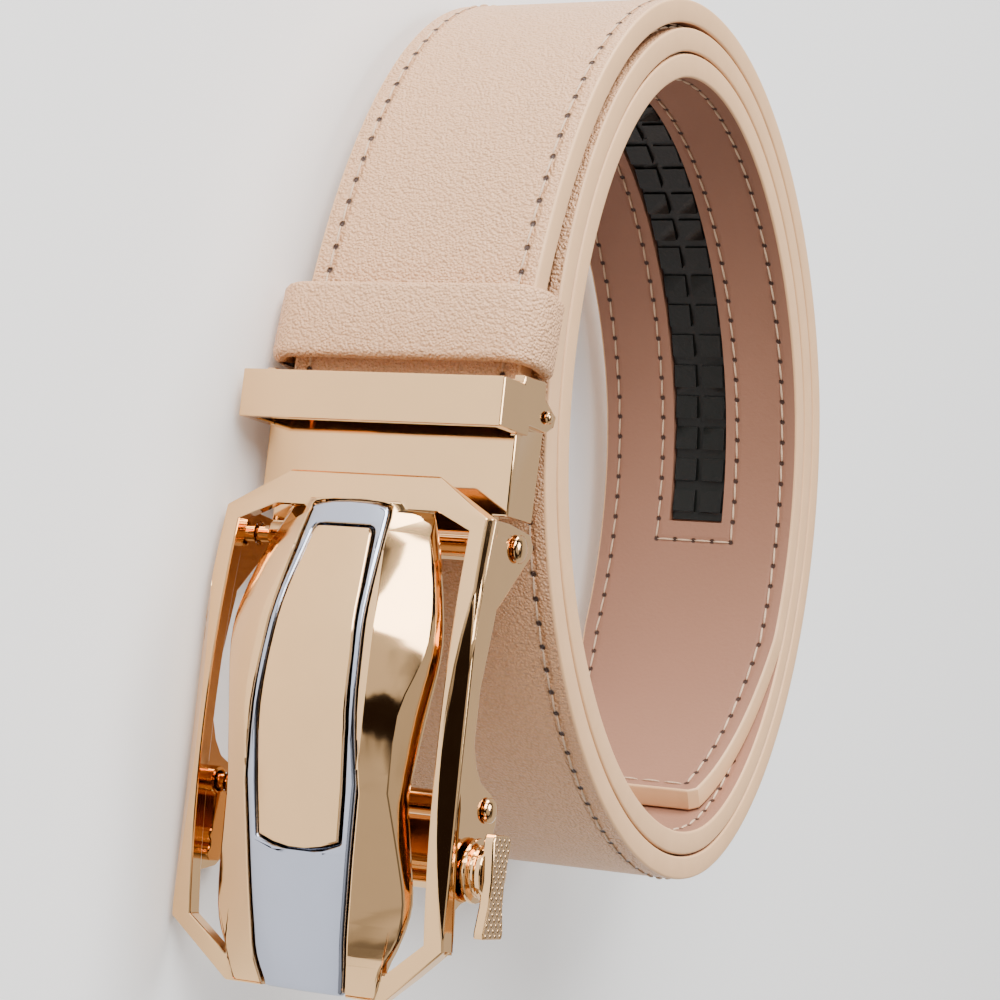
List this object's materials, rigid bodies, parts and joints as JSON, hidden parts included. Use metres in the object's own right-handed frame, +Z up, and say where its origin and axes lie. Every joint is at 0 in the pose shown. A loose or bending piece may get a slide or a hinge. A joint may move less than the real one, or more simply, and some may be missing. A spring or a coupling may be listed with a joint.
{
  "type": "ratchet belt",
  "caption": "Rolled leather ratchet belt with a hinged metal automatic buckle, strap clamp with tail bar, keeper loop, toothed track in the lining and a side release lever.",
  "frame": {"origin": "under the middle of the belt's box, at the level of its lowest point, where it lies", "axes": "+X down the buckle from the strap clamp to its free end, -Y out of the buckle's face, +Z up across the strap, along the axis of the roll, to the side with the release lever"},
  "size_m": [0.1488, 0.134, 0.0463],
  "materials": {
    "leather": "fine grained light beige leather, smooth cut edges",
    "track_rubber": "moulded near black plastic",
    "gold_plate": "mirror polished pale rose gold plating",
    "silver_plate": "polished cool silver plating"
  },
  "bodies": {
    "belt": {"strap": "leather", "ratchet_track": "track_rubber", "keeper_loop": "leather", "strap_clamp": "gold_plate", "clamp_flap": "gold_plate", "flap_pin": "gold_plate", "hinge_pin": "gold_plate"},
    "faceplate": {"buckle_frame": "gold_plate", "silver_inlay": "silver_plate", "gold_insert": "gold_plate", "pawl_pin": "gold_plate"},
    "pawl": {"pawl": "gold_plate"},
    "lever": {"release_lever": "gold_plate"}
  },
  "joints": [
    {"name": "faceplate_hinge", "type": "hinge", "parent": "belt", "child": "faceplate", "pos_m": [0.01482, -0.05072, 0.0214], "axis": [0, 0, 1], "range_deg": [-25, 12]},
    {"name": "lever_turn", "type": "hinge", "parent": "faceplate", "child": "lever", "pos_m": [0.05662, -0.05427, 0.0214], "axis": [0, 0, 1], "range_deg": [0, 25], "stiffness_Nm_per_rad": 0.02},
    {"name": "pawl_turn", "type": "hinge", "parent": "faceplate", "child": "pawl", "pos_m": [0.04892, -0.05147, 0.0214], "axis": [0, 0, 1], "range_deg": [0, 12.5]}
  ],
  "couplings": [
    {"joint": "pawl_turn", "follows": "lever_turn", "ratio": 0.5}
  ]
}
